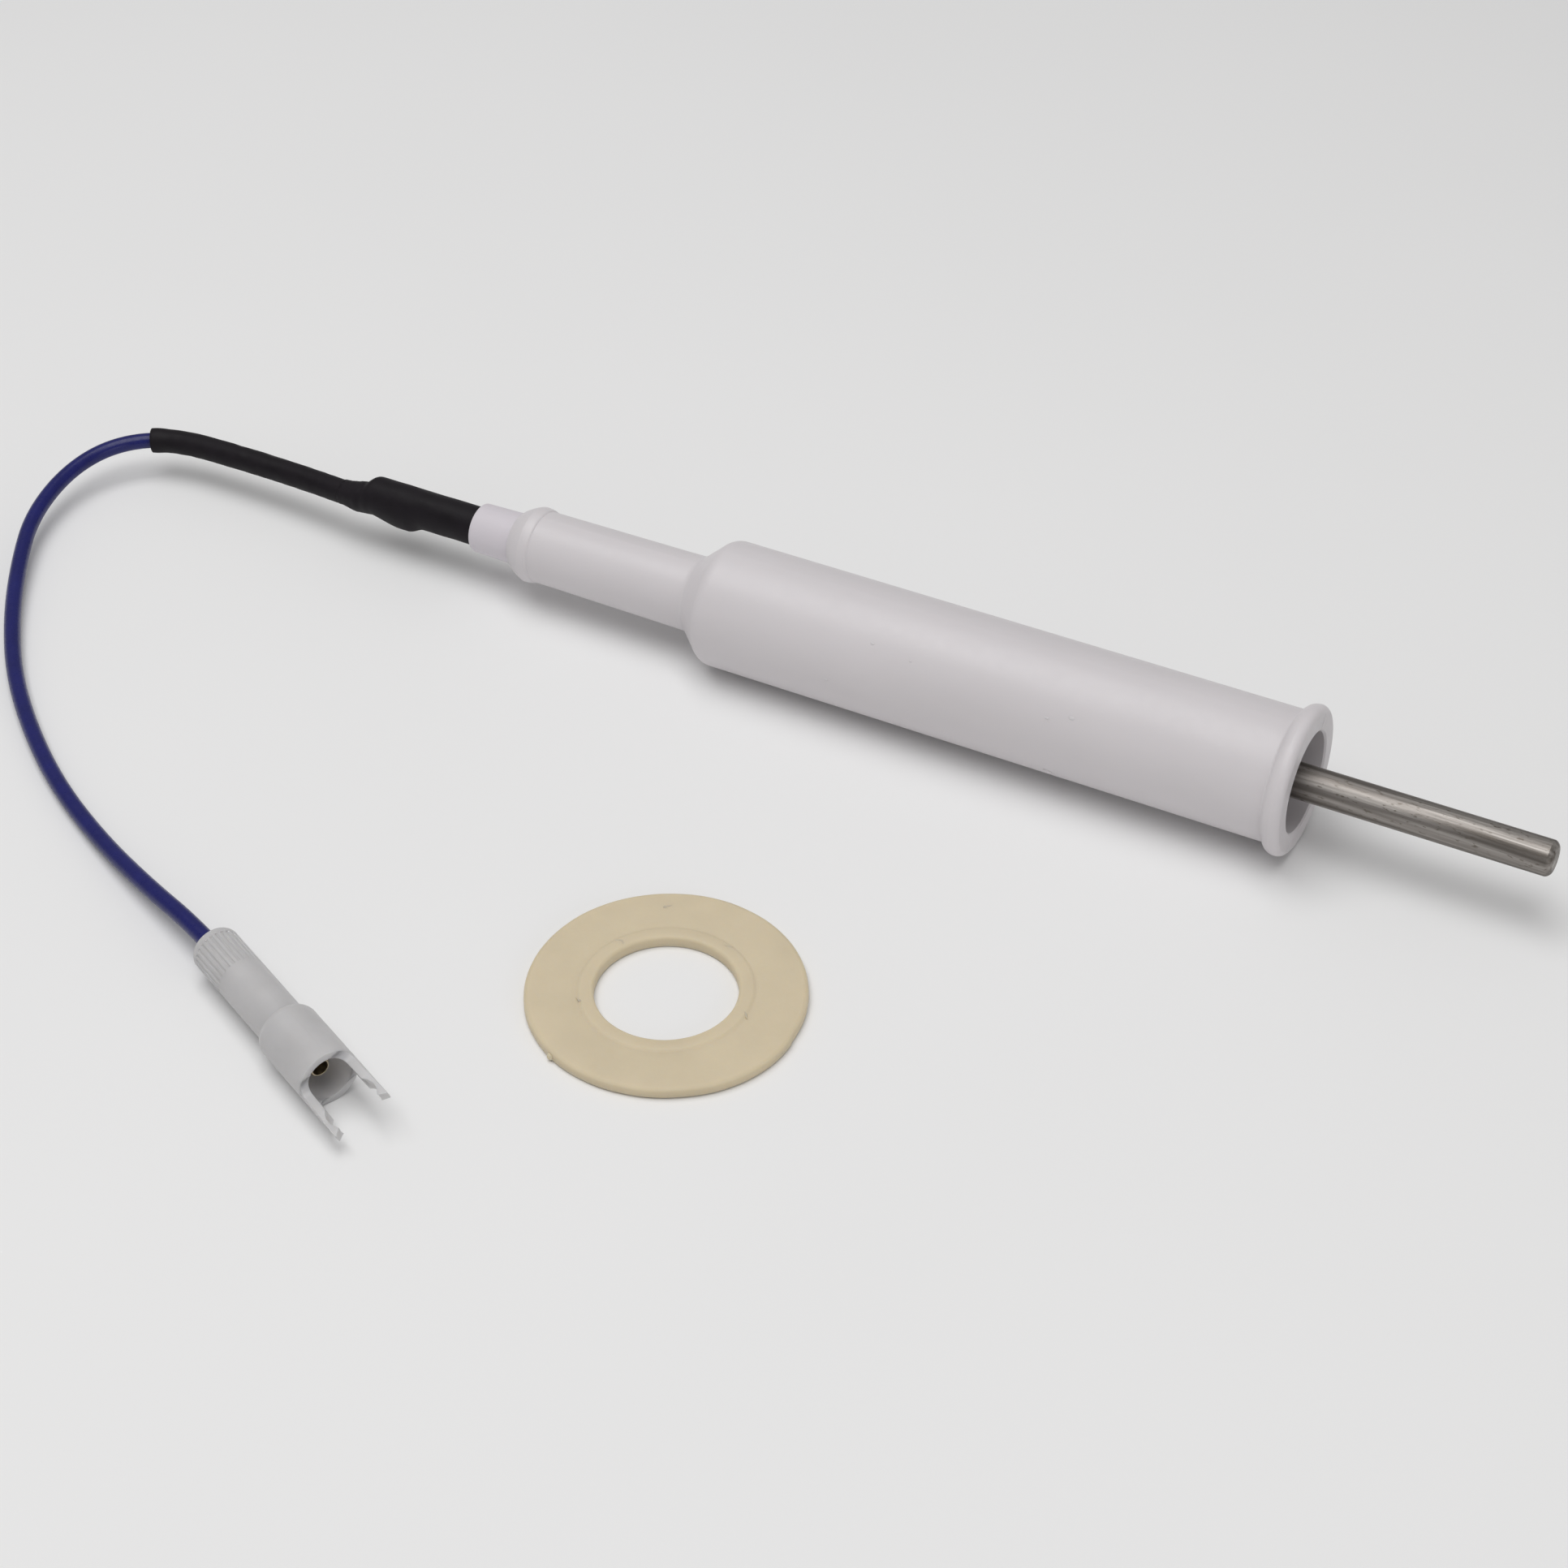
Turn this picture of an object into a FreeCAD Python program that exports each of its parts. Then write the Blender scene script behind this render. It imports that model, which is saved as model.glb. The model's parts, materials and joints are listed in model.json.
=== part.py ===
"""Flame sensor probe lying on a table, with its lead, plug-in connector and loose gasket.

Millimetres, +Z up. The origin is on the probe's axis at the rear face of the flange.
+X runs along the probe towards the electrode's tip. The probe rests on its flange rim and
on the rear edge of its barrel, so its axis rises towards the tip by a little under a degree.
"""
import math
import os

import FreeCAD
import Part
from FreeCAD import Vector

# Holder: flange, barrel, shoulder, neck and collar, turned about the probe's axis.
FLANGE_R = 10.6
FLANGE_THICK = 2.65
FLANGE_RIM_AT = 1.4
FLANGE_SEAT_R = 9.75
BARREL_R = 9.33
BARREL_END = -85.15
SHOULDER_END = -90.3
NECK_R_FRONT = 5.6
NECK_R_REAR = 5.38
NECK_END = -116.3
COLLAR_R = 5.72
COLLAR_MOUTH_R = 4.25
HOLDER_END = -120.5
BARREL_BORE_R = 7.15
BARREL_BORE_END = -83.5
NECK_BORE_R = 3.95

# Bush that carries the electrode through the neck, and the seal in front of it.
BUSH_R = 3.9
BUSH_TAIL_R = 3.72
BUSH_TAIL_END = -127.5
BUSH_HEAD_R = 7.1
BUSH_HEAD_THICK = 4.0
SEAL_R = 6.2
SEAL_THICK = 2.5

# Electrode and the crimped splice behind it.
ROD_R = 2.5
ROD_TIP = 36.8
ROD_TIP_CHAMFER = 0.8
ROD_END = -139.0
ROD_TAIL_R = 1.5
ROD_TAIL_LENGTH = 2.8
ROD_CLEARANCE = 0.02
FERRULE_R = 2.2
FERRULE_LENGTH = 5.3
SPLICE_SLEEVE_R = 2.95
SPLICE_NECK = -146.4
SPLICE_BORE_NECK = -143.5
SPLICE_SLEEVE_END = -148.6
SPLICE_EXIT = (-0.80, -0.73)
SPLICE_EXIT_R = 2.4
SPLICE_EXIT_CLEARANCE = 0.14

# Lead.
LEAD_R = 1.2
CONDUCTOR_R = 0.58
LEAD_BORE_R = 0.6
LEAD_SLEEVE_R = 1.85
LEAD_SLEEVE_BORE_R = 1.22
LEAD_START = 2.8
LEAD_SLEEVE_START = 3.6
LEAD_SLEEVE_END = 46.0
STRIPPED_END = 4.6

# Centreline of the lead, from the splice on the probe's axis to the crimp in the connector.
ROUTE = [
    (-142.0, 0.0, -2.05),
    (-148.0, -1.0, -2.87),
    (-159.3, 0.3, -3.62),
    (-171.9, 0.7, -4.02),
    (-185.5, 0.4, -4.4),
    (-192.6, -4.8, -4.8),
    (-195.2, -13.1, -5.7),
    (-193.6, -23.9, -6.8),
    (-188.7, -33.4, -7.8),
    (-182.1, -43.5, -8.7),
    (-173.6, -53.7, -9.3),
    (-163.4, -62.7, -9.35),
    (-152.2, -70.7, -9.35),
    (-139.9, -77.3, -9.1),
    (-127.5, -83.0, -7.7),
    (-114.7, -87.9, -6.48),
    (-100.55, -94.6, -6.48),
]
ARC_SHARE = 0.45

# Connector, measured along its own axis from its rear end.
CONNECTOR_REAR = (-111.55, -89.4)
CONNECTOR_TURN = -25.3
HOUSING_R = 3.25
HOUSING_LENGTH = 29.5
HOUSING_REAR_ROUND = 0.9
SHROUD_START = 18.4
SHROUD_FULL = 19.6
SHROUD_R = 4.1
SHROUD_BORE_R = 3.15
SHROUD_FLOOR = 20.3
LEAD_ENTRY_R = 1.55
LEAD_ENTRY_DEPTH = 3.0
CONTACT_CAVITY_R = 1.95
CONTACT_NOSE_R = 1.5
CONTACT_NOSE_START = 16.9
GRIP_RIBS = 26
GRIP_GROOVE_R = 0.22
GRIP_START = 1.4
GRIP_END = 7.6
ARM_ROLL = 22.0
ARM_LENGTH = 8.1
ARM_ROOT_HALF_WIDTH = 3.1
ARM_ROOT_ROUND = 1.5
ARM_HALF_WIDTH = 1.45
ARM_TIP_HALF_WIDTH = 0.6
ARM_RECESS_AT = 4.4
ARM_BARB_AT = 7.5
ARM_BARB_R = 3.1
ARM_GAP = 0.03

# Socket contact inside the connector, measured from the connector's rear end.
CONTACT_START = 3.6
CONTACT_TIP = 27.3
CONTACT_R = 1.35
CONTACT_BORE_R = 1.07
CONTACT_BORE_LENGTH = 7.0
CONTACT_GRIP_R = 1.6
CONTACT_GRIP_END = 8.0
CONTACT_CRIMP_R = 1.05
CONTACT_CRIMP_END = 12.8

# Gasket, loose on the table.
GASKET_CENTRE = (-57.8, -66.4)
GASKET_R = 18.2
GASKET_HOLE_R = 9.3
GASKET_THICK = 1.7
GASKET_EDGE = 0.2

REST_TILT = math.degrees(math.atan((FLANGE_R - BARREL_R) / (FLANGE_RIM_AT - BARREL_END)))
FLOOR_Z = (FLANGE_RIM_AT * math.sin(math.radians(REST_TILT))
           - FLANGE_R * math.cos(math.radians(REST_TILT)))
CONNECTOR_Z = FLOOR_Z + SHROUD_R

X_AXIS = Vector(1, 0, 0)
Y_AXIS = Vector(0, 1, 0)
Z_AXIS = Vector(0, 0, 1)
ORIGIN = Vector(0, 0, 0)


def point(station, radius):
    """A point of a turned profile: station along X, radius along Z."""
    return Vector(station, 0, radius)


def turned(outline):
    """Solid turned about X. An outline entry (s, r) ends a line; (s, r, s_mid, r_mid) an arc."""
    edges = []
    here = point(*outline[0][:2])
    for entry in outline[1:] + outline[:1]:
        there = point(*entry[:2])
        if len(entry) == 4:
            edges.append(Part.Arc(here, point(*entry[2:]), there).toShape())
        else:
            edges.append(Part.LineSegment(here, there).toShape())
        here = there
    face = Part.Face(Part.Wire(edges))
    return face.revolve(ORIGIN, X_AXIS, 360)


def on_probe(shape):
    """Tilt a shape from the X axis to the resting probe's axis."""
    return shape.rotated(ORIGIN, Y_AXIS, -REST_TILT)


def on_connector(shape):
    """Move a shape from the X axis to the connector's axis."""
    turned_shape = shape.rotated(ORIGIN, Z_AXIS, CONNECTOR_TURN)
    return turned_shape.translated(Vector(*CONNECTOR_REAR, CONNECTOR_Z))


def make_holder():
    outline = [
        (BARREL_BORE_END, BARREL_BORE_R),
        (FLANGE_THICK - 0.25, BARREL_BORE_R),
        (FLANGE_THICK, BARREL_BORE_R + 0.25),
        (FLANGE_THICK, FLANGE_SEAT_R),
        (FLANGE_RIM_AT + 0.1, FLANGE_R, FLANGE_THICK - 0.3, 10.3),
        (FLANGE_RIM_AT - 0.1, FLANGE_R),
        (0.0, FLANGE_SEAT_R, 0.42, 10.25),
        (-0.42, BARREL_R, -0.12, BARREL_R + 0.12),
        (BARREL_END, BARREL_R),
        (BARREL_END - 1.95, 8.5, BARREL_END - 1.1, 9.12),
        (SHOULDER_END + 0.4, NECK_R_FRONT + 0.3),
        (SHOULDER_END - 0.5, NECK_R_FRONT, SHOULDER_END, NECK_R_FRONT + 0.07),
        (NECK_END, NECK_R_REAR),
        (NECK_END - 0.5, COLLAR_R - 0.1, NECK_END - 0.12, COLLAR_R - 0.22),
        (NECK_END - 1.6, COLLAR_R, NECK_END - 1.0, COLLAR_R),
        (HOLDER_END, COLLAR_MOUTH_R, HOLDER_END + 1.4, 5.2),
        (HOLDER_END, NECK_BORE_R),
        (BARREL_BORE_END - 0.5, NECK_BORE_R),
        (BARREL_BORE_END, NECK_BORE_R + 0.5),
    ]
    return turned(outline)


def make_bush():
    head_face = BARREL_BORE_END + BUSH_HEAD_THICK
    bore = ROD_R + ROD_CLEARANCE
    outline = [
        (head_face, bore),
        (head_face, BUSH_HEAD_R - 0.5),
        (head_face - 0.5, BUSH_HEAD_R),
        (BARREL_BORE_END, BUSH_HEAD_R),
        (BARREL_BORE_END, BUSH_R + 0.45),
        (BARREL_BORE_END - 0.45, BUSH_R),
        (HOLDER_END, BUSH_R),
        (BUSH_TAIL_END + 0.3, BUSH_TAIL_R),
        (BUSH_TAIL_END, BUSH_TAIL_R - 0.3, BUSH_TAIL_END + 0.08, BUSH_TAIL_R - 0.08),
        (BUSH_TAIL_END, bore),
    ]
    return turned(outline)


def make_rod_seal():
    start = BARREL_BORE_END + BUSH_HEAD_THICK
    outline = [
        (start, ROD_R + ROD_CLEARANCE),
        (start, SEAL_R),
        (start + SEAL_THICK, ROD_R + 1.0, start + SEAL_THICK * 0.45, SEAL_R - 1.6),
        (start + SEAL_THICK, ROD_R + ROD_CLEARANCE),
    ]
    return turned(outline)


def make_electrode():
    outline = [
        (ROD_END - ROD_TAIL_LENGTH, 0.0),
        (ROD_END - ROD_TAIL_LENGTH, ROD_TAIL_R),
        (ROD_END, ROD_TAIL_R),
        (ROD_END, ROD_R - 0.3),
        (ROD_END + 0.3, ROD_R),
        (ROD_TIP - ROD_TIP_CHAMFER, ROD_R),
        (ROD_TIP, ROD_R - ROD_TIP_CHAMFER, ROD_TIP - 0.3, ROD_R - 0.28),
        (ROD_TIP, 0.0),
    ]
    return turned(outline)


def make_ferrule():
    start = ROD_END - 0.05
    end = start - FERRULE_LENGTH
    step = ROD_END - ROD_TAIL_LENGTH - 0.1
    outline = [
        (start, ROD_TAIL_R + ROD_CLEARANCE),
        (start, FERRULE_R - 0.2),
        (start - 0.2, FERRULE_R),
        (end + 0.6, FERRULE_R),
        (end, FERRULE_R - 0.5, end + 0.18, FERRULE_R - 0.15),
        (end, 0.0),
        (step, 0.0),
        (step, ROD_TAIL_R + ROD_CLEARANCE),
    ]
    ferrule = on_probe(turned(outline))
    lead_start = Vector(*ROUTE[0])
    first_run = Vector(*ROUTE[1]) - lead_start
    wire_hole = Part.makeCylinder(LEAD_BORE_R, 2 * FERRULE_LENGTH, lead_start - first_run * 0.05,
                                  first_run)
    return ferrule.cut(wire_hole)


def necked_bar(radius, neck, end_radius):
    """A bar along the electrode that draws in, off centre, to where the lead leaves."""
    start = Vector(BUSH_TAIL_END, 0, 0)
    end = Vector(SPLICE_SLEEVE_END, *SPLICE_EXIT)
    straight = Part.makeCylinder(radius, BUSH_TAIL_END - neck, start, -X_AXIS)
    rings = [Part.Wire(Part.makeCircle(radius, Vector(neck, 0, 0), X_AXIS)),
             Part.Wire(Part.makeCircle(end_radius, end, X_AXIS))]
    return straight.fuse(Part.makeLoft(rings, True, True))


def make_splice_sleeve():
    outer = necked_bar(SPLICE_SLEEVE_R, SPLICE_NECK, SPLICE_EXIT_R)
    bore = necked_bar(ROD_R + ROD_CLEARANCE, SPLICE_BORE_NECK,
                      LEAD_SLEEVE_R + SPLICE_EXIT_CLEARANCE)
    return on_probe(outer.cut(bore))


def route_edges(corners):
    """Straight runs joined by tangent arcs, each as large as its two runs allow."""
    corners = [Vector(*corner) for corner in corners]
    edges = []
    radii = []
    here = corners[0]
    for before, corner, after in zip(corners, corners[1:], corners[2:]):
        back = (before - corner).normalize()
        ahead = (after - corner).normalize()
        half_turn = (math.pi - back.getAngle(ahead)) / 2
        cut = ARC_SHARE * min((before - corner).Length, (after - corner).Length)
        radius = cut / math.tan(half_turn)
        inward = (back + ahead).normalize()
        middle = corner + inward * (radius / math.cos(half_turn) - radius)
        edges.append(Part.LineSegment(here, corner + back * cut).toShape())
        edges.append(Part.Arc(corner + back * cut, middle, corner + ahead * cut).toShape())
        here = corner + ahead * cut
        radii.append(radius)
    edges.append(Part.LineSegment(here, corners[-1]).toShape())
    print("lead bend radii, mm:", [round(radius, 1) for radius in radii])
    print("lead centreline, mm:", round(sum(edge.Length for edge in edges), 1))
    return edges


def stretch(edges, start, end):
    """The part of a route between two distances along it."""
    pieces = []
    done = 0.0
    for edge in edges:
        low = max(start - done, 0.0)
        high = min(end - done, edge.Length)
        if high - low > 1e-6:
            first = edge.getParameterByLength(low)
            last = edge.getParameterByLength(high)
            pieces.append(edge.Curve.toShape(first, last))
        done += edge.Length
    return pieces


def swept(edges, radius):
    """A round bar along a route."""
    path = Part.Wire(edges)
    first = edges[0]
    start = first.valueAt(first.FirstParameter)
    along = first.tangentAt(first.FirstParameter)
    circle = Part.Wire(Part.makeCircle(radius, start, along))
    return path.makePipeShell([circle], True, True)


def tube(edges, radius, bore):
    solid = swept(edges, radius).cut(swept(edges, bore))
    length = sum(edge.Length for edge in edges)
    share = solid.Volume / (math.pi * (radius ** 2 - bore ** 2) * length)
    print(f"tube {2 * radius:.2f} mm across: length {length:.1f} mm, volume over section x length {share:.4f}")
    return solid


def make_lead():
    """The conductor, its insulation and the shrunk sleeve over the first stretch."""
    edges = route_edges(ROUTE)
    whole = sum(edge.Length for edge in edges)
    return {
        "lead_conductor": swept(edges, CONDUCTOR_R),
        "lead_insulation": tube(stretch(edges, LEAD_START, whole - STRIPPED_END), LEAD_R, LEAD_BORE_R),
        "lead_sleeve": tube(stretch(edges, LEAD_SLEEVE_START, LEAD_SLEEVE_END),
                            LEAD_SLEEVE_R, LEAD_SLEEVE_BORE_R),
    }


def grip_grooves():
    """Fine grooves along the rear of the housing."""
    grooves = []
    for index in range(GRIP_RIBS):
        turn = 360.0 * index / GRIP_RIBS
        groove = Part.makeCylinder(GRIP_GROOVE_R, GRIP_END - GRIP_START,
                                   Vector(GRIP_START, 0, HOUSING_R + 0.06), X_AXIS)
        grooves.append(groove.rotated(ORIGIN, X_AXIS, turn))
    return grooves


def make_housing():
    outline = [
        (0.0, LEAD_ENTRY_R + 0.2),
        (0.0, HOUSING_R - HOUSING_REAR_ROUND),
        (HOUSING_REAR_ROUND, HOUSING_R, 0.26, HOUSING_R - 0.26),
        (SHROUD_START, HOUSING_R),
        (SHROUD_FULL, SHROUD_R, SHROUD_START + 0.5, SHROUD_R - 0.27),
        (HOUSING_LENGTH, SHROUD_R),
        (HOUSING_LENGTH, SHROUD_BORE_R),
        (SHROUD_FLOOR, SHROUD_BORE_R),
        (SHROUD_FLOOR, CONTACT_NOSE_R),
        (CONTACT_NOSE_START, CONTACT_NOSE_R),
        (CONTACT_NOSE_START, CONTACT_CAVITY_R),
        (LEAD_ENTRY_DEPTH, CONTACT_CAVITY_R),
        (LEAD_ENTRY_DEPTH - 0.4, LEAD_ENTRY_R),
        (0.2, LEAD_ENTRY_R),
    ]
    housing = turned(outline).cut(grip_grooves())
    return on_connector(housing)


def arm_plan(start, end):
    """Outline of one arm seen square on: a broad rounded root that narrows to the tip."""
    waist = start + ARM_ROOT_ROUND
    bend = ARM_ROOT_HALF_WIDTH - ARM_HALF_WIDTH
    middle = (start + 0.25 * ARM_ROOT_ROUND, ARM_HALF_WIDTH + 0.3 * bend)
    recess = start + ARM_RECESS_AT
    edges = []
    for side in (1, -1):
        root = Vector(start, 0, side * ARM_ROOT_HALF_WIDTH)
        neck = Vector(waist, 0, side * ARM_HALF_WIDTH)
        edges.append(Part.Arc(root, Vector(middle[0], 0, side * middle[1]), neck).toShape())
        knee = Vector(recess, 0, side * (ARM_HALF_WIDTH - 0.15))
        edges.append(Part.LineSegment(neck, knee).toShape())
        edges.append(Part.LineSegment(knee, Vector(end, 0, side * ARM_TIP_HALF_WIDTH)).toShape())
    for station, half_width in ((start, ARM_ROOT_HALF_WIDTH), (end, ARM_TIP_HALF_WIDTH)):
        edges.append(Part.LineSegment(point(station, half_width), point(station, -half_width)).toShape())
    return Part.Face(Part.Wire(Part.__sortEdges__(edges)))


def make_latch_arm(side):
    """One sprung arm of the shroud: a tapering slice of its wall with a barb inside the tip."""
    start = HOUSING_LENGTH + ARM_GAP
    end = HOUSING_LENGTH + ARM_LENGTH
    recess = start + ARM_RECESS_AT
    barb = start + ARM_BARB_AT
    outline = [
        (start, SHROUD_BORE_R),
        (recess, SHROUD_BORE_R),
        (barb - 0.35, SHROUD_BORE_R + 0.15, (recess + barb) / 2 - 0.4, SHROUD_BORE_R + 0.52),
        (barb, ARM_BARB_R),
        (end, SHROUD_R - 0.15),
        (end, SHROUD_R),
        (start, SHROUD_R),
    ]
    ring = turned(outline)
    plan = arm_plan(start, end)
    arm = ring.common(plan.extrude(Vector(0, side * (SHROUD_R + 1), 0)))
    return on_connector(arm.rotated(ORIGIN, X_AXIS, ARM_ROLL))


def make_contact():
    bore_start = CONTACT_TIP - CONTACT_BORE_LENGTH
    outline = [
        (CONTACT_START, LEAD_R + 0.02),
        (CONTACT_START, CONTACT_GRIP_R),
        (CONTACT_GRIP_END, CONTACT_GRIP_R),
        (CONTACT_GRIP_END + 0.8, CONTACT_CRIMP_R),
        (CONTACT_CRIMP_END, CONTACT_CRIMP_R),
        (CONTACT_CRIMP_END + 0.5, CONTACT_R),
        (CONTACT_TIP - 0.3, CONTACT_R),
        (CONTACT_TIP, CONTACT_R - 0.15),
        (CONTACT_TIP, CONTACT_BORE_R),
        (bore_start, CONTACT_BORE_R),
        (bore_start, 0.0),
        (CONTACT_CRIMP_END + 0.2, 0.0),
        (CONTACT_CRIMP_END + 0.2, LEAD_BORE_R + 0.02),
        (CONTACT_GRIP_END - 0.3, LEAD_BORE_R + 0.02),
        (CONTACT_GRIP_END - 0.3, LEAD_R + 0.02),
    ]
    return on_connector(turned(outline))


def make_gasket():
    low = FLOOR_Z
    ring = Part.makeCylinder(GASKET_R, GASKET_THICK, Vector(*GASKET_CENTRE, low))
    hole = Part.makeCylinder(GASKET_HOLE_R, GASKET_THICK, Vector(*GASKET_CENTRE, low))
    gasket = ring.cut(hole)
    rims = [edge for edge in gasket.Edges if edge.Length > 2 * math.pi * GASKET_R - 0.01]
    return gasket.makeChamfer(GASKET_EDGE, rims)


def make_parts():
    parts = {
        "holder_body": on_probe(make_holder()),
        "rod_bush": on_probe(make_bush()),
        "rod_seal": on_probe(make_rod_seal()),
        "electrode_rod": on_probe(make_electrode()),
        "splice_ferrule": make_ferrule(),
        "splice_sleeve": make_splice_sleeve(),
        "connector_housing": make_housing(),
        "latch_arm_left": make_latch_arm(1),
        "latch_arm_right": make_latch_arm(-1),
        "socket_contact": make_contact(),
        "gasket": make_gasket(),
    }
    parts.update(make_lead())
    return parts


def main():
    os.makedirs("parts", exist_ok=True)
    print(f"resting tilt {REST_TILT:.4f} degrees, table at Z {FLOOR_Z:.4f}")
    for name, shape in make_parts().items():
        solids = shape.Solids
        box = shape.BoundBox
        print(f"{name:18s} solids {len(solids)} valid {shape.isValid()} volume {shape.Volume:9.2f} "
              f"z {box.ZMin:.3f}..{box.ZMax:.3f}")
        shape.exportStep(f"parts/{name}.step")


main()
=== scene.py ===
"""Looks of a flame sensor probe lying on a table with its lead, plug-in connector and gasket.

Metres, in the CAD model's frame: the origin is on the probe's axis at the flange's rear face,
+X runs towards the electrode's tip and +Z is up.
"""
import json
import math

import bmesh
import bpy
from mathutils import Matrix, Vector, noise


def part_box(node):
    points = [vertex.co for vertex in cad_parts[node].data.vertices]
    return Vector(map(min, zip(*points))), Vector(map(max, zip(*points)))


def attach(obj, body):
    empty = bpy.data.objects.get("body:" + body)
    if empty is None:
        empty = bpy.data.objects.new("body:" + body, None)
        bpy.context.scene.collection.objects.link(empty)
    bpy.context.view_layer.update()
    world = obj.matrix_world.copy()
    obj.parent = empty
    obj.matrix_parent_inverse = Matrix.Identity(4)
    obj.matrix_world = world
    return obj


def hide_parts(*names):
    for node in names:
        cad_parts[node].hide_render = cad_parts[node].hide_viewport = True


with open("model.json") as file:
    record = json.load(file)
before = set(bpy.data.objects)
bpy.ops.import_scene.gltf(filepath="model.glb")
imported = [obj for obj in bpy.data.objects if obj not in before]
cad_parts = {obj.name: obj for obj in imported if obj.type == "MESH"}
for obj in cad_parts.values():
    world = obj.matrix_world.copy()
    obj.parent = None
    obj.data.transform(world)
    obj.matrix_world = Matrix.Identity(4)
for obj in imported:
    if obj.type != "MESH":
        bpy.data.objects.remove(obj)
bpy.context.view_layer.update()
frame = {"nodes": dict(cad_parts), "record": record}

MM = 0.001
MOUNTS = {mount["name"]: mount for mount in frame["record"]["mounts"]}
NODES = frame["nodes"]
UP = Vector((0, 0, 1))

# The probe's own frame: stations along its axis from the flange, sides towards +Y and up.
PROBE_AXIS = -Vector(MOUNTS["barrel"]["axis"])
PROBE_SIDE = Vector((0, 1, 0))
PROBE_UP = PROBE_AXIS.cross(PROBE_SIDE).normalized()
FLOOR_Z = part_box("gasket")[0].z

# Holder and bush, in millimetres; stations run along the probe's axis.
FLANGE_FRONT = 2.65
FLANGE_BORE_R = 7.4
BARREL_R = 9.33
BUSH_TAIL_END = -127.5
PARTING_LINE_ANGLES = (32, 212)
PARTING_LINE_LENGTH = 2.28
# Pips on the barrel as (station, angle, half length), and one larger nub (station, angle).
BARREL_PIPS = [
    (-58.8, -45.9, 0.34),
    (-64.8, -90.1, 0.4),
    (-31.7, -62.4, 0.3),
    (-28.3, -56.3, 0.42),
    (-52.7, -50.7, 0.2),
]
BARREL_NUB = (-31.4, -123.3)

# Splice sleeve and lead, in millimetres. Sleeve and stripped ends are distances along the lead.
SPLICE_R = 2.95
SPLICE_BORE_R = 2.53
SPLICE_NECK = -146.2
SPLICE_STEP_END = -148.0
SPLICE_TAIL_END = -152.0
SPLICE_TAIL_R = 2.42
SPLICE_TAIL_TAPER = 0.5
LUMP_HEIGHT = 0.95
LUMP_ANGLE = 200
LUMP_RISE = (-136.9, -139.6)
LUMP_FALL = (-140.6, -147.2)
LEAD_R = 1.2
CONDUCTOR_R = 0.55
SLEEVE_R = 1.85
SLEEVE_BORE_R = 1.26
SLEEVE_START = 3.6
SLEEVE_END = 46.0
STRIPPED_START = 2.8
STRIPPED_END = 4.6
SLEEVE_FLARE = 0.07

# The lead's route in metres, from the splice to the crimp in the connector.
ROUTE = [
    (-0.1420, 0.0000, -0.00205),
    (-0.1480, -0.0010, -0.00287),
    (-0.1593, 0.0003, -0.00362),
    (-0.1719, 0.0007, -0.00402),
    (-0.1855, 0.0004, -0.0044),
    (-0.1926, -0.0048, -0.0048),
    (-0.1952, -0.0131, -0.0057),
    (-0.1936, -0.0239, -0.0068),
    (-0.1887, -0.0334, -0.0078),
    (-0.1821, -0.0435, -0.0087),
    (-0.1736, -0.0537, -0.0093),
    (-0.1634, -0.0627, -0.00935),
    (-0.1522, -0.0707, -0.00935),
    (-0.1399, -0.0773, -0.0091),
    (-0.1275, -0.0830, -0.0077),
    (-0.1147, -0.0879, -0.00648),
    (-0.10055, -0.0946, -0.00648),
]

# Gasket, in millimetres; marks on its face are (angle, near radius, far radius).
GASKET_EDGE = 0.32
GASKET_LIP = 2.1
GASKET_BULGE = 0.35
GASKET_BULGE_ANGLE = 335
GASKET_BULGE_SPREAD = 26
GATE_MARK = (156, 10.5)
GATE_MARK_R = 0.6
GASKET_TICKS = [(2, 10.6, 11.9), (73, 10.2, 11.4), (-141, 11.0, 11.6), (119, 15.1, 15.7)]
RIM_NUBS = [(-113, 0.3), (-8, 0.15)]

# Camera and floor, in metres.
CAMERA_AT = Vector((0.08966, -0.30972, 0.26345))
CAMERA_TARGET = Vector((-0.06457, -0.02193, -0.01061))
CAMERA_LENS = 70.62
SENSOR = 36.0
FLOOR_HALF = 3.0


# ---------------------------------------------------------------- node helpers

def new_material(name, base, roughness, metallic=0.0):
    """A material with a Principled shader."""
    material = bpy.data.materials.new(name)
    material.use_nodes = True
    tree = material.node_tree
    shader = tree.nodes["Principled BSDF"]
    shader.inputs["Base Color"].default_value = (*base, 1)
    shader.inputs["Roughness"].default_value = roughness
    shader.inputs["Metallic"].default_value = metallic
    return material, tree, shader


def mapped_noise(tree, scale, stretch=(1, 1, 1), detail=4.0, roughness=0.5):
    """Noise in object space: scale in features per metre, stretched along the axes."""
    coordinates = tree.nodes.new("ShaderNodeTexCoord")
    mapping = tree.nodes.new("ShaderNodeMapping")
    mapping.inputs["Scale"].default_value = stretch
    texture = tree.nodes.new("ShaderNodeTexNoise")
    texture.inputs["Scale"].default_value = scale
    texture.inputs["Detail"].default_value = detail
    texture.inputs["Roughness"].default_value = roughness
    tree.links.new(coordinates.outputs["Object"], mapping.inputs["Vector"])
    tree.links.new(mapping.outputs["Vector"], texture.inputs["Vector"])
    return texture.outputs["Fac"]


def ramp(tree, value, stops):
    """A colour ramp: stops are (position, colour) pairs."""
    node = tree.nodes.new("ShaderNodeValToRGB")
    elements = node.color_ramp.elements
    while len(elements) < len(stops):
        elements.new(0.5)
    for element, (position, colour) in zip(elements, stops):
        element.position = position
        element.color = (*colour, 1)
    tree.links.new(value, node.inputs["Fac"])
    return node.outputs["Color"]


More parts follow.
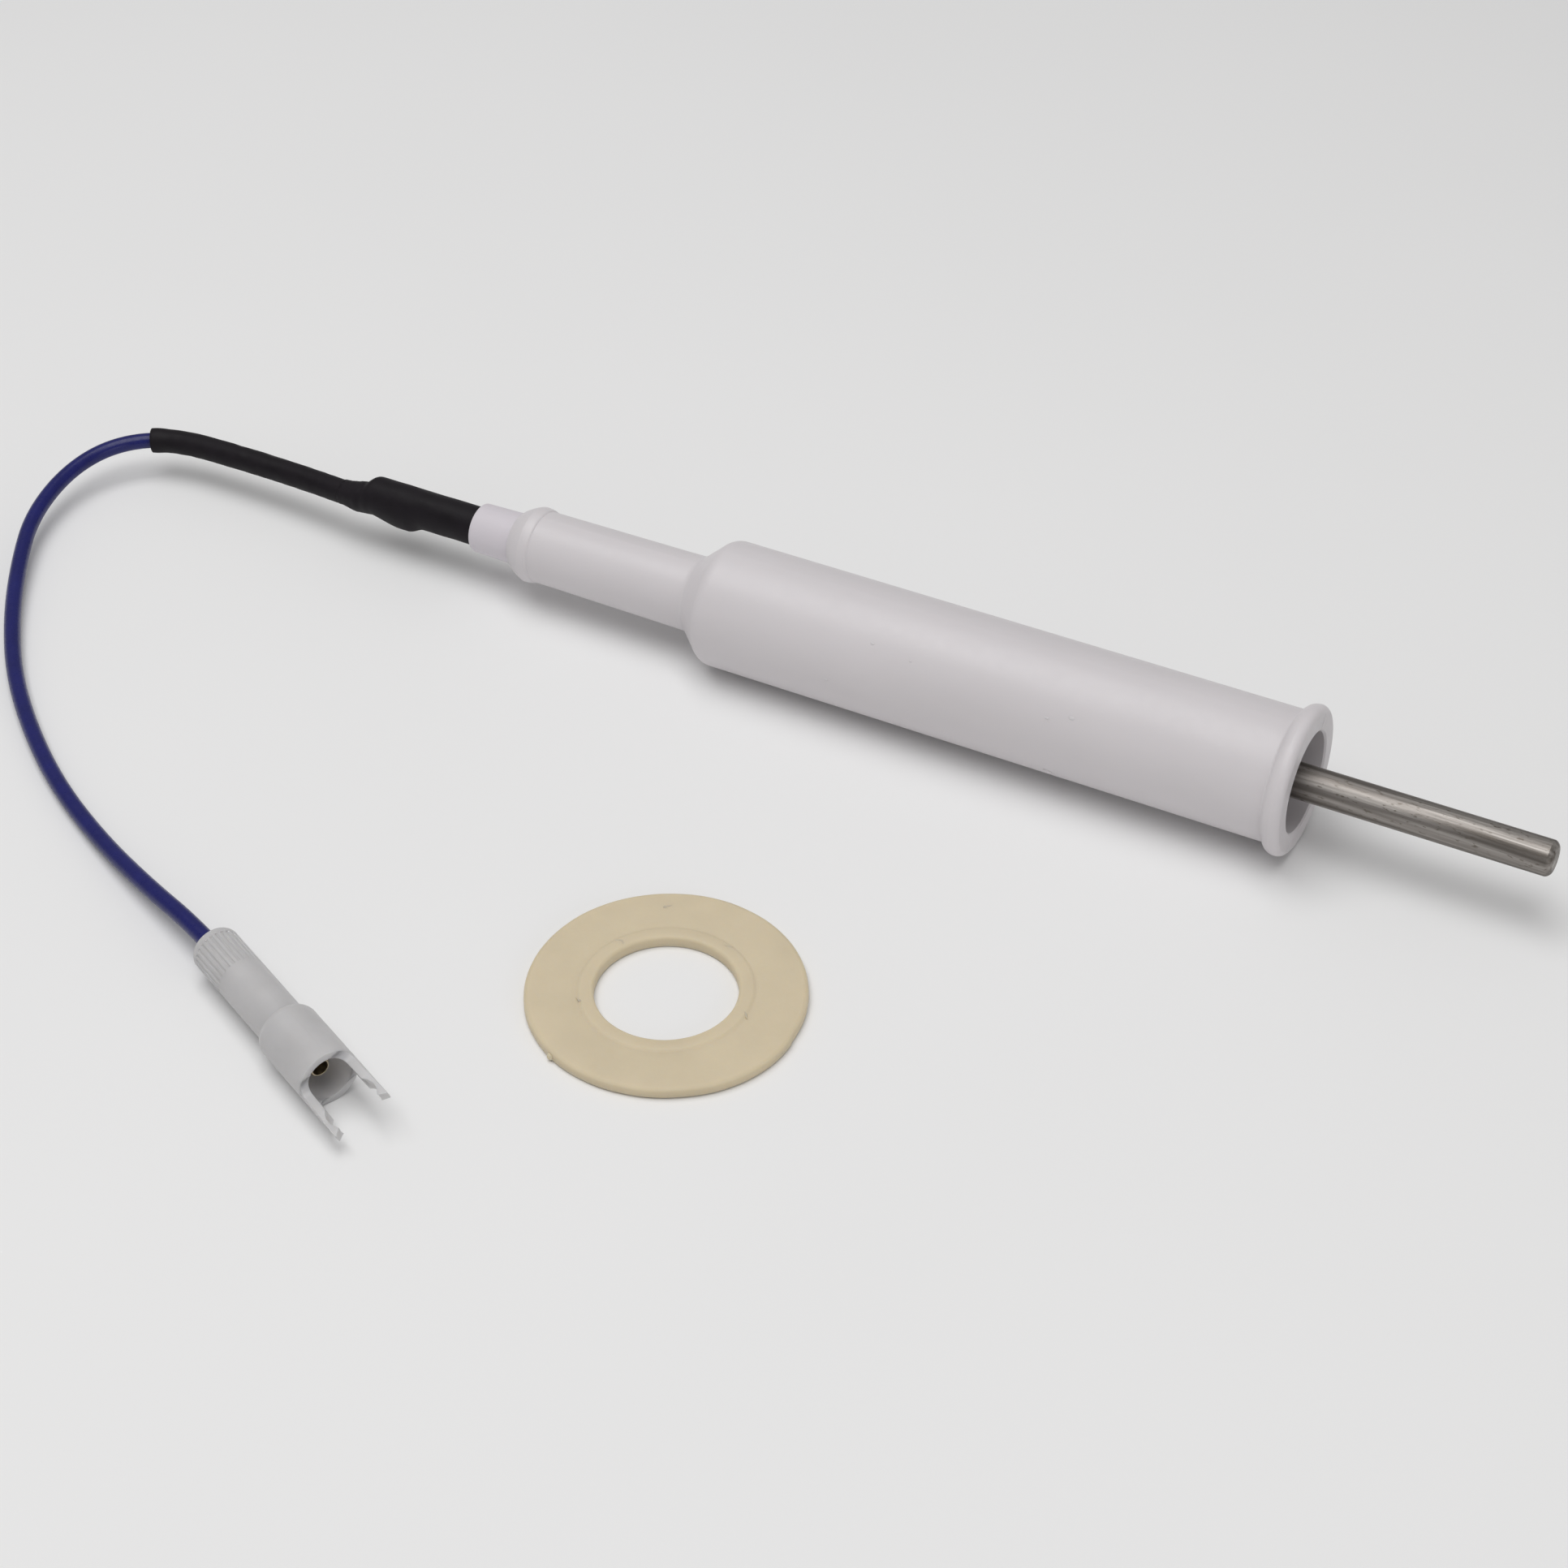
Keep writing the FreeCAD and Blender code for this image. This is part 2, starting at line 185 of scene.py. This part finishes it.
def mapped_range(tree, value, low, high, start=0.3, stop=0.7):
    """A value spread to a new range."""
    node = tree.nodes.new("ShaderNodeMapRange")
    node.inputs["From Min"].default_value = start
    node.inputs["From Max"].default_value = stop
    node.inputs["To Min"].default_value = low
    node.inputs["To Max"].default_value = high
    tree.links.new(value, node.inputs["Value"])
    return node.outputs["Result"]


def bump(tree, height, distance, strength=1.0, before=None):
    """A bump node; distance is in metres."""
    node = tree.nodes.new("ShaderNodeBump")
    node.inputs["Strength"].default_value = strength
    node.inputs["Distance"].default_value = distance
    tree.links.new(height, node.inputs["Height"])
    if before is not None:
        tree.links.new(before, node.inputs["Normal"])
    return node.outputs["Normal"]


def shade(colour, share):
    """A colour made darker or lighter."""
    return tuple(channel * share for channel in colour)


# ------------------------------------------------------------------- materials

def moulded_plastic(name, base, roughness, gloss_spread=0.06):
    """White moulded plastic: faint flow marks, a fine satin skin and a soft depth."""
    material, tree, shader = new_material(name, base, roughness)
    flow = mapped_noise(tree, 90, stretch=(0.35, 1, 1), detail=3)
    colour = ramp(tree, flow, [(0.30, shade(base, 0.965)), (0.55, base), (0.75, shade(base, 1.02))])
    tree.links.new(colour, shader.inputs["Base Color"])
    skin = mapped_noise(tree, 700, detail=5)
    rough = mapped_range(tree, skin, roughness - gloss_spread, roughness + gloss_spread)
    tree.links.new(rough, shader.inputs["Roughness"])
    sink = mapped_noise(tree, 45, stretch=(0.5, 1, 1), detail=1)
    fine = mapped_noise(tree, 5200, detail=3)
    wavy = bump(tree, sink, 0.00035, 0.35)
    tree.links.new(bump(tree, fine, 0.000012, 0.55, wavy), shader.inputs["Normal"])
    shader.inputs["Subsurface Weight"].default_value = 0.12
    shader.inputs["Subsurface Radius"].default_value = (1.0, 0.85, 0.8)
    shader.inputs["Subsurface Scale"].default_value = 0.0012
    shader.inputs["IOR"].default_value = 1.49
    return material


def seal_compound():
    """Cast sealing compound: chalky, with small pits."""
    base = (0.50, 0.47, 0.41)
    material, tree, shader = new_material("seal_compound", base, 0.8)
    cloud = mapped_noise(tree, 500, detail=6)
    colour = ramp(tree, cloud, [(0.3, shade(base, 0.8)), (0.7, shade(base, 1.1))])
    tree.links.new(colour, shader.inputs["Base Color"])
    tree.links.new(bump(tree, cloud, 0.00025), shader.inputs["Normal"])
    return material


def drawn_steel():
    """Drawn bar: lines along its length, darker oxide streaks and scattered dull specks."""
    base = (0.25, 0.23, 0.213)
    material, tree, shader = new_material("drawn_steel", base, 0.3, metallic=1.0)
    lines = mapped_noise(tree, 5200, stretch=(0.012, 1, 1), detail=4, roughness=0.6)
    streaks = mapped_noise(tree, 900, stretch=(0.03, 1, 1), detail=3)
    dark, bright = (0.15, 0.135, 0.12), (0.42, 0.395, 0.37)
    tint = ramp(tree, streaks, [(0.36, dark), (0.5, base), (0.66, bright)])
    specks = mapped_noise(tree, 2600, stretch=(0.35, 1, 1), detail=2)
    spot = ramp(tree, specks, [(0.60, (0, 0, 0)), (0.70, (1, 1, 1))])
    mix = tree.nodes.new("ShaderNodeMix")
    mix.data_type = "RGBA"
    mix.inputs["B"].default_value = (0.17, 0.15, 0.13, 1)
    tree.links.new(spot, mix.inputs["Factor"])
    tree.links.new(tint, mix.inputs["A"])
    tree.links.new(mix.outputs["Result"], shader.inputs["Base Color"])
    tree.links.new(mapped_range(tree, lines, 0.36, 0.58), shader.inputs["Roughness"])
    worn = bump(tree, specks, 0.00003, 0.5)
    tree.links.new(bump(tree, lines, 0.000035, 0.7, worn), shader.inputs["Normal"])
    return material


def tinned_metal(name, base):
    """Tin plate: mottled and slightly dull."""
    material, tree, shader = new_material(name, base, 0.32, metallic=1.0)
    cloud = mapped_noise(tree, 1400, detail=5)
    colour = ramp(tree, cloud, [(0.3, shade(base, 0.75)), (0.7, shade(base, 1.1))])
    tree.links.new(colour, shader.inputs["Base Color"])
    tree.links.new(mapped_range(tree, cloud, 0.24, 0.45), shader.inputs["Roughness"])
    tree.links.new(bump(tree, cloud, 0.00003), shader.inputs["Normal"])
    return material


def copper_strands():
    """Bare copper, with the twist of its fine strands."""
    base = (0.72, 0.36, 0.20)
    material, tree, shader = new_material("copper_strands", base, 0.35, metallic=1.0)
    twist = mapped_noise(tree, 6000, stretch=(0.1, 1, 1), detail=2)
    tree.links.new(ramp(tree, twist, [(0.35, shade(base, 0.55)), (0.6, base)]),
                   shader.inputs["Base Color"])
    tree.links.new(bump(tree, twist, 0.0001), shader.inputs["Normal"])
    return material


def shrink_sleeve():
    """Black heat-shrunk sleeve: matte, finely pebbled, with shallow shrink ripples."""
    base = (0.0090, 0.0070, 0.0095)
    material, tree, shader = new_material("shrink_sleeve", base, 0.55)
    cloud = mapped_noise(tree, 260, detail=4)
    tree.links.new(ramp(tree, cloud, [(0.3, shade(base, 0.8)), (0.7, shade(base, 1.3))]),
                   shader.inputs["Base Color"])
    tree.links.new(mapped_range(tree, cloud, 0.46, 0.64), shader.inputs["Roughness"])
    ripple = mapped_noise(tree, 330, stretch=(0.6, 1, 1), detail=2)
    pebble = mapped_noise(tree, 4200, detail=3)
    wavy = bump(tree, ripple, 0.00022, 0.6)
    tree.links.new(bump(tree, pebble, 0.00003, 0.5, wavy), shader.inputs["Normal"])
    shader.inputs["Specular IOR Level"].default_value = 0.18
    return material


def blue_pvc():
    """Dark blue extruded insulation: semi-gloss, faintly mottled, with a fine skin."""
    base = (0.0085, 0.0105, 0.1150)
    material, tree, shader = new_material("blue_pvc", base, 0.3)
    cloud = mapped_noise(tree, 320, detail=3)
    tree.links.new(ramp(tree, cloud, [(0.3, shade(base, 0.88)), (0.7, shade(base, 1.12))]),
                   shader.inputs["Base Color"])
    skin = mapped_noise(tree, 1800, detail=4)
    tree.links.new(mapped_range(tree, skin, 0.24, 0.4), shader.inputs["Roughness"])
    tree.links.new(bump(tree, skin, 0.000018, 0.6), shader.inputs["Normal"])
    shader.inputs["Specular IOR Level"].default_value = 0.36
    return material


def milky_nylon():
    """Natural nylon: milky and slightly clear, brighter in its depth, with a satin skin."""
    base = (0.74, 0.73, 0.735)
    material, tree, shader = new_material("milky_nylon", base, 0.4)
    cloud = mapped_noise(tree, 240, detail=3)
    tree.links.new(ramp(tree, cloud, [(0.3, shade(base, 0.95)), (0.7, shade(base, 1.03))]),
                   shader.inputs["Base Color"])
    skin = mapped_noise(tree, 2200, detail=4)
    tree.links.new(mapped_range(tree, skin, 0.33, 0.47), shader.inputs["Roughness"])
    tree.links.new(bump(tree, skin, 0.00002, 0.6), shader.inputs["Normal"])
    shader.inputs["Transmission Weight"].default_value = 0.34
    shader.inputs["Subsurface Weight"].default_value = 0.8
    shader.inputs["Subsurface Radius"].default_value = (1.0, 0.97, 0.9)
    shader.inputs["Subsurface Scale"].default_value = 0.0016
    shader.inputs["IOR"].default_value = 1.53
    return material


def cream_silicone():
    """Cream moulded silicone: matte, faintly mottled, with a fine mould texture."""
    base = (0.655, 0.560, 0.395)
    material, tree, shader = new_material("cream_silicone", base, 0.58)
    cloud = mapped_noise(tree, 130, detail=4)
    tree.links.new(ramp(tree, cloud, [(0.3, shade(base, 0.96)), (0.7, shade(base, 1.03))]),
                   shader.inputs["Base Color"])
    skin = mapped_noise(tree, 2400, detail=5)
    tree.links.new(mapped_range(tree, skin, 0.5, 0.68), shader.inputs["Roughness"])
    pits = mapped_noise(tree, 420, detail=3)
    dented = bump(tree, pits, 0.00008, 0.5)
    tree.links.new(bump(tree, skin, 0.00003, 0.6, dented), shader.inputs["Normal"])
    shader.inputs["Subsurface Weight"].default_value = 0.4
    shader.inputs["Subsurface Radius"].default_value = (1.0, 0.8, 0.5)
    shader.inputs["Subsurface Scale"].default_value = 0.002
    return material


def floor_paper():
    """Plain pale table top."""
    base = (0.87, 0.87, 0.87)
    material, tree, shader = new_material("floor_paper", base, 0.7)
    cloud = mapped_noise(tree, 12, detail=2)
    tree.links.new(ramp(tree, cloud, [(0.3, shade(base, 0.99)), (0.7, base)]),
                   shader.inputs["Base Color"])
    return material


HOLDER_WHITE = (0.670, 0.640, 0.656)
MATERIALS = {
    "holder_plastic": moulded_plastic("holder_plastic", HOLDER_WHITE, 0.40),
    "bush_plastic": moulded_plastic("bush_plastic", (0.675, 0.636, 0.678), 0.50, 0.04),
    "seal_compound": seal_compound(),
    "electrode_steel": drawn_steel(),
    "ferrule_metal": tinned_metal("tinned_ferrule", (0.62, 0.61, 0.58)),
    "shrink_sleeve": shrink_sleeve(),
    "lead_insulation": blue_pvc(),
    "copper_strand": copper_strands(),
    "connector_nylon": milky_nylon(),
    "contact_metal": tinned_metal("tinned_contact", (0.66, 0.56, 0.40)),
    "gasket_silicone": cream_silicone(),
}


def paint_cad_nodes():
    """Each CAD node that stays in view gets the finish of its slot."""
    for row in frame["record"]["subparts"]:
        node = NODES[row["node"]]
        node.data.materials.clear()
        node.data.materials.append(MATERIALS[row["material_slot"]])
        for polygon in node.data.polygons:
            polygon.material_index = 0


# -------------------------------------------------------------- mesh helpers

def linked(thing):
    """Puts an object into the scene."""
    bpy.context.scene.collection.objects.link(thing)
    return thing


def probe_point(station, side, height):
    """A point of the probe's own frame, in millimetres, as a point of the row frame."""
    return (PROBE_AXIS * station + PROBE_SIDE * side + PROBE_UP * height) * MM


def around_probe(station, radius, angle):
    """A point at an angle in degrees from the top of the probe, positive towards +Y."""
    turn = math.radians(angle)
    return probe_point(station, radius * math.sin(turn), radius * math.cos(turn))


def outward(angle):
    """Direction away from the probe's axis at an angle in degrees from its top."""
    turn = math.radians(angle)
    return PROBE_SIDE * math.sin(turn) + PROBE_UP * math.cos(turn)


def mesh_object(name, build, slot, body):
    """A smooth mesh piece made by build(bmesh), with its finish and the body that it rides on."""
    shell = bmesh.new()
    build(shell)
    bmesh.ops.recalc_face_normals(shell, faces=shell.faces)
    mesh = bpy.data.meshes.new(name)
    shell.to_mesh(mesh)
    shell.free()
    for polygon in mesh.polygons:
        polygon.use_smooth = True
    mesh.materials.append(MATERIALS[slot])
    piece = linked(bpy.data.objects.new(name, mesh))
    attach(piece, body)
    return piece


def add_rings(shell, rings, closed):
    """Faces between rings of equal length. A closed run joins its last ring to its first."""
    loops = [[shell.verts.new(point) for point in ring] for ring in rings]
    count = len(loops[0])
    pairs = list(zip(loops, loops[1:]))
    if closed:
        pairs.append((loops[-1], loops[0]))
    for one, two in pairs:
        for index in range(count):
            after = (index + 1) % count
            shell.faces.new((one[index], one[after], two[after], two[index]))
    if not closed:
        shell.faces.new(loops[0])
        shell.faces.new(loops[-1])


def steps_between(start, stop, count):
    """Evenly spaced values from start to stop, both included."""
    return [start + (stop - start) * step / count for step in range(count + 1)]


def smooth_step(value, start, stop):
    """From 0 at start to 1 at stop, with a smooth beginning and end."""
    share = min(max((value - start) / (stop - start), 0.0), 1.0)
    return share * share * (3 - 2 * share)


# ---------------------------------------------------------------------- lead

def spline_object(name, points, radius):
    """A round NURBS cord with these control points."""
    curve = bpy.data.curves.new(name, "CURVE")
    curve.dimensions = "3D"
    curve.resolution_u = 16
    curve.bevel_depth = radius
    curve.bevel_resolution = 7
    curve.use_fill_caps = True
    spline = curve.splines.new("NURBS")
    spline.points.add(len(points) - 1)
    for control, point in zip(spline.points, points):
        control.co = (*point, 1)
    spline.order_u = 3
    spline.use_endpoint_u = True
    return linked(bpy.data.objects.new(name, curve))


def centreline(points):
    """Points along the smooth line of the route, read from its spline."""
    line = spline_object("centreline", points, 0.0)
    line.data.resolution_u = 40
    bpy.context.view_layer.update()
    evaluated = line.evaluated_get(bpy.context.evaluated_depsgraph_get())
    mesh = bpy.data.meshes.new_from_object(evaluated)
    found = [vertex.co.copy() for vertex in mesh.vertices]
    bpy.data.objects.remove(line)
    bpy.data.meshes.remove(mesh)
    return found


class Line:
    """A centreline that gives the place and direction at a distance along it."""

    def __init__(self, points):
        self.points = points
        self.distances = [0.0]
        for one, two in zip(points, points[1:]):
            self.distances.append(self.distances[-1] + (two - one).length)
        self.length = self.distances[-1]

    def at(self, distance):
        """The point and the direction at a distance from the line's start."""
        for index, reached in enumerate(self.distances[1:]):
            if reached >= distance:
                break
        one, two = self.points[index], self.points[index + 1]
        share = (distance - self.distances[index]) / (two - one).length
        return one.lerp(two, share), (two - one).normalized()


def ring_on_line(line, distance, radius, count, ripple=0.0):
    """A ring of points round the line, with an uneven radius if it has a ripple."""
    centre, along = line.at(distance)
    side = along.cross(UP).normalized()
    rise = side.cross(along)
    ring = []
    for index in range(count):
        turn = 2 * math.pi * index / count
        x, y = math.cos(turn), math.sin(turn)
        wave = ripple * noise.noise(Vector((distance * 700, 1.3 * x, 1.3 * y)))
        ring.append(centre + (side * x + rise * y) * (radius + wave))
    return ring


def make_lead():
    """Insulated lead and its copper core, on one smooth route."""
    route = [Vector(point) for point in ROUTE]
    start_share = STRIPPED_START * MM / (route[1] - route[0]).length
    end_share = STRIPPED_END * MM / (route[-1] - route[-2]).length
    ends = (route[0].lerp(route[1], start_share), route[-1].lerp(route[-2], end_share))
    lead = spline_object("lead", [ends[0], *route[1:-1], ends[1]], LEAD_R * MM)
    lead.data.materials.append(MATERIALS["lead_insulation"])
    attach(lead, "probe")
    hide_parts("lead_insulation")
    core = spline_object("lead_core", route, CONDUCTOR_R * MM)
    core.data.materials.append(MATERIALS["copper_strand"])
    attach(core, "probe")
    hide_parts("lead_conductor")
    return lead, core


def make_narrow_sleeve(line):
    """Shrunk sleeve over the first stretch of the lead, a little flared at its mouth."""
    start, end = SLEEVE_START, SLEEVE_END
    outside = [(distance, SLEEVE_R + SLEEVE_FLARE * smooth_step(distance, end - 3, end - 0.6), 0.05)
               for distance in steps_between(start, end, 110)]
    mouth = [(end + 0.06, SLEEVE_R, 0.02), (end + 0.08, SLEEVE_R - 0.12, 0),
             (end, SLEEVE_BORE_R + 0.12, 0), (end - 0.6, SLEEVE_BORE_R, 0)]
    inside = [(distance, SLEEVE_BORE_R, 0) for distance in steps_between(end, start, 5)[1:]]

    def build(shell):
        rings = [ring_on_line(line, distance * MM, radius * MM, 40, ripple * MM)
                 for distance, radius, ripple in outside + mouth + inside]
        add_rings(shell, rings, closed=True)

    sleeve = mesh_object("narrow_sleeve", build, "shrink_sleeve", "probe")
    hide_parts("lead_sleeve")
    return sleeve


def splice_radius(station, angle):
    """Outside radius of the splice sleeve before it draws in: a tube with a shrunk-on lump."""
    x, y = math.cos(angle), math.sin(angle)
    body = SPLICE_R + 0.05 * noise.noise(Vector((station * 0.35, x, y)))
    lump_side = max(0.0, math.cos(angle - math.radians(LUMP_ANGLE))) ** 1.6
    lump_along = smooth_step(station, *LUMP_RISE) * (1 - smooth_step(station, *LUMP_FALL))
    return body + LUMP_HEIGHT * lump_side * lump_along


def splice_tail_radius(station, angle):
    """Outside radius of the stretch that has shrunk onto the narrow sleeve."""
    taper = SPLICE_TAIL_TAPER * smooth_step(station, SPLICE_STEP_END + 0.4, SPLICE_TAIL_END)
    uneven = 0.09 * noise.noise(Vector((station, math.cos(angle), math.sin(angle))))
    return SPLICE_TAIL_R - taper + uneven


def make_splice_sleeve(line):
    """Sleeve over the crimped joint: it draws in, off centre, round the narrow sleeve."""
    count = 56
    first_stretch = [line.at(step * 0.5 * MM)[0] for step in range(1, 40)]

    def ring(station, radius_at):
        near = min(first_stretch, key=lambda p: abs(p.dot(PROBE_AXIS) / MM - station))
        drawn = smooth_step(station, SPLICE_NECK + 0.4, SPLICE_STEP_END)
        side, rise = (near.dot(way) / MM * drawn for way in (PROBE_SIDE, PROBE_UP))
        points = []
        for index in range(count):
            angle = 2 * math.pi * index / count
            radius = radius_at(angle)
            points.append(probe_point(station, side + radius * math.sin(angle),
                                      rise + radius * math.cos(angle)))
        return points

    def outside(station):
        drawn = smooth_step(station, SPLICE_NECK, SPLICE_STEP_END)
        return ring(station, lambda angle: (splice_radius(station, angle) * (1 - drawn)
                                            + splice_tail_radius(station, angle) * drawn))

    def inside(station):
        drawn = smooth_step(station, SPLICE_NECK, SPLICE_STEP_END)
        radius = SPLICE_BORE_R * (1 - drawn) + (SLEEVE_R + 0.06) * drawn
        return ring(station, lambda _: radius)

    def build(shell):
        stations = steps_between(BUSH_TAIL_END, SPLICE_TAIL_END, 90)
        rings = [outside(station) for station in stations]
        rings += [inside(station) for station in reversed(stations[::3])]
        add_rings(shell, rings, closed=True)

    sleeve = mesh_object("splice_cover", build, "shrink_sleeve", "probe")
    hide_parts("splice_sleeve")
    return sleeve


# -------------------------------------------------------------------- gasket

def gasket_profile(hole, outer, thick):
    """Half section in millimetres, as (radius, height): hole, lip, groove, face and rim."""
    foot = hole + GASKET_LIP
    edge = GASKET_EDGE
    return [
        (hole + 0.15, 0), (hole, 0.2), (hole, thick - 0.4), (hole + 0.12, thick - 0.12),
        (hole + 0.4, thick), (hole + 1.2, thick - 0.02),
        (foot - 0.4, thick - 0.04), (foot - 0.2, thick - 0.1), (foot, thick - 0.26),
        (foot + 0.2, thick - 0.27), (foot + 0.5, thick - 0.2), (foot + 1.2, thick - 0.13),
        (foot + 3, thick - 0.1), (outer - 3, thick - 0.08), (outer - 2 * edge, thick - 0.1),
        (outer - 0.4 * edge, thick - 0.7 * edge), (outer, thick - 1.7 * edge),
        (outer, edge), (outer - edge, 0),
    ]


def make_gasket():
    """Silicone ring: rounded rims, a low lip round the hole and an uneven outer rim."""
    low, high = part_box("gasket")
    middle = (low + high) / 2
    base = Vector((middle.x, middle.y, low.z))
    outer = (high.x - low.x) / 2 / MM
    thick = (high.z - low.z) / MM
    count = 220

    def rim_growth(turn):
        away = (math.degrees(turn) - GASKET_BULGE_ANGLE) / GASKET_BULGE_SPREAD
        uneven = noise.noise(Vector((math.cos(turn) * 5, math.sin(turn) * 5, 7.7)))
        return GASKET_BULGE * math.exp(-away ** 2) + 0.05 * uneven

    def build(shell):
        rings = []
        for radius, height in gasket_profile(MOUNTS["gasket_hole"]["dims"]["r_mm"], outer, thick):
            ring = []
            for index in range(count):
                turn = 2 * math.pi * index / count
                x, y = math.cos(turn), math.sin(turn)
                sink = 0.06 * noise.noise(Vector((x * 3.1, y * 3.1, radius * 0.2)))
                lift = min(sink, 0.0) if height > thick / 2 else 0.0
                reach = radius + (rim_growth(turn) if radius > outer - 1 else 0.0)
                ring.append(base + Vector((reach * x, reach * y, height + lift)) * MM)
            rings.append(ring)
        add_rings(shell, rings, closed=True)

    gasket = mesh_object("gasket_ring", build, "gasket_silicone", "gasket")
    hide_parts("gasket")
    return base, outer, thick


def blob(name, centre, size, normal, slot, body):
    """A small rounded lump; size gives its half axes, the last one along its normal."""
    turn = UP.rotation_difference(normal).to_matrix().to_4x4()
    shape = Matrix.Translation(centre) @ turn @ Matrix.Diagonal((*(Vector(size) * MM), 1))

    def build(shell):
        bmesh.ops.create_icosphere(shell, subdivisions=3, radius=1.0, matrix=shape)
        for vertex in shell.verts:
            away = vertex.co - centre
            vertex.co += away * 0.16 * noise.noise(vertex.co * 2400)

    return mesh_object(name, build, slot, body)


def arc_ridge(name, points, radius, slot, body):
    """A thin rounded ridge along a row of points, tapered at both ends; radius in millimetres."""
    line = Line(points)

    def build(shell):
        rings = []
        for share in steps_between(0, 1, 24):
            taper = 0.15 + 0.85 * math.sin(math.pi * share) ** 0.5
            rings.append(ring_on_line(line, line.length * share, radius * taper * MM, 10))
        add_rings(shell, rings, closed=False)

    return mesh_object(name, build, slot, body)


def make_gasket_marks(base, outer, thick):
    """Gate mark and ticks on the gasket's face and trimmed nubs on its rim."""
    finish = ("gasket_silicone", "gasket")

    def at(radius, degrees, height):
        turn = math.radians(degrees)
        return base + Vector((radius * math.cos(turn), radius * math.sin(turn), height)) * MM

    face = thick - 0.13
    angle, radius = GATE_MARK
    gate = at(radius, angle, face + 0.03)
    loop = [gate + Vector((math.cos(turn), math.sin(turn), 0)) * GATE_MARK_R * MM
            for turn in (-0.7, 0.0, 0.6, 1.2, 1.8, 2.4, 3.0)]
    arc_ridge("gasket_gate_mark", loop, 0.12, *finish)
    for index, (angle, near, far) in enumerate(GASKET_TICKS):
        tick = [at(near + (far - near) * share, angle + 2.5 * math.sin(5 * share), face)
                for share in steps_between(0, 1, 4)]
        arc_ridge(f"gasket_tick_{index}", tick, 0.11, *finish)
    for index, (angle, reach) in enumerate(RIM_NUBS):
        away = Vector((math.cos(math.radians(angle)), math.sin(math.radians(angle)), 0))
        nub = at(outer - 0.25 + reach, angle, thick / 2 - 0.2)
        blob(f"gasket_nub_{index}", nub, (0.5, 0.5, 0.35), away, *finish)


# -------------------------------------------------------------------- holder

def make_holder_marks():
    """Mould parting lines on the flange and the small pips and nub on the barrel."""
    finish = ("holder_plastic", "probe")
    inner = FLANGE_BORE_R + 0.03
    for index, angle in enumerate(PARTING_LINE_ANGLES):
        points = [around_probe(FLANGE_FRONT - 0.01, radius, angle)
                  for radius in steps_between(inner, inner + PARTING_LINE_LENGTH, 4)]
        arc_ridge(f"flange_parting_line_{index}", points, 0.07, *finish)
    for index, (station, angle, size) in enumerate(BARREL_PIPS):
        blob(f"barrel_pip_{index}", around_probe(station, BARREL_R - 0.02, angle),
             (size, size * 0.6, 0.08), outward(angle), *finish)
    station, angle = BARREL_NUB
    blob("barrel_nub", around_probe(station, BARREL_R - 0.05, angle), (0.7, 0.5, 0.32),
         outward(angle), *finish)


# -------------------------------------------------------------- set and light

def make_floor():
    """A large square table top, a hair below the lowest piece."""
    mesh = bpy.data.meshes.new("floor")
    z = FLOOR_Z - 0.00002
    corners = [(x * FLOOR_HALF, y * FLOOR_HALF, z) for x, y in ((-1, -1), (1, -1), (1, 1), (-1, 1))]
    mesh.from_pydata(corners, [], [(0, 1, 2, 3)])
    mesh.materials.append(floor_paper())
    floor = linked(bpy.data.objects.new("floor", mesh))


def aim(thing, at, target):
    """Stands a light or a camera at a place, looking at a target."""
    thing.location = at
    thing.rotation_euler = (Vector(target) - Vector(at)).to_track_quat("-Z", "Y").to_euler()


def area_light(name, at, target, size, watts):
    """A rectangular soft light."""
    data = bpy.data.lights.new(name, "AREA")
    data.shape = "RECTANGLE"
    data.size, data.size_y = size
    data.energy = watts
    aim(linked(bpy.data.objects.new(name, data)), at, target)


def make_lights():
    """Even room light, a large softbox overhead and a weak fill into the open ends."""
    world = bpy.data.worlds.new("studio")
    world.use_nodes = True
    background = world.node_tree.nodes["Background"]
    background.inputs["Color"].default_value = (1.0, 0.99, 0.985, 1)
    background.inputs["Strength"].default_value = 0.32
    bpy.context.scene.world = world
    bpy.context.scene.view_settings.view_transform = "Standard"
    area_light("key_softbox", (-0.18, -0.15, 0.88), (-0.08, -0.03, 0.0), (0.95, 0.7), 5.7)
    area_light("low_fill", (0.45, -0.32, 0.17), (-0.08, -0.09, 0.0), (0.4, 0.25), 0.35)


def make_camera():
    """Camera above the near side, with everything in view."""
    data = bpy.data.cameras.new("camera")
    data.lens = CAMERA_LENS
    data.sensor_width = SENSOR
    data.clip_start, data.clip_end = 0.01, 20
    camera = linked(bpy.data.objects.new("camera", data))
    aim(camera, CAMERA_AT, CAMERA_TARGET)
    bpy.context.scene.camera = camera


make_camera()
make_floor()
make_lights()
paint_cad_nodes()
lead, lead_core = make_lead()
lead_line = Line(centreline([Vector(point) for point in ROUTE]))
narrow_sleeve = make_narrow_sleeve(lead_line)
make_splice_sleeve(lead_line)
make_gasket_marks(*make_gasket())
make_holder_marks()
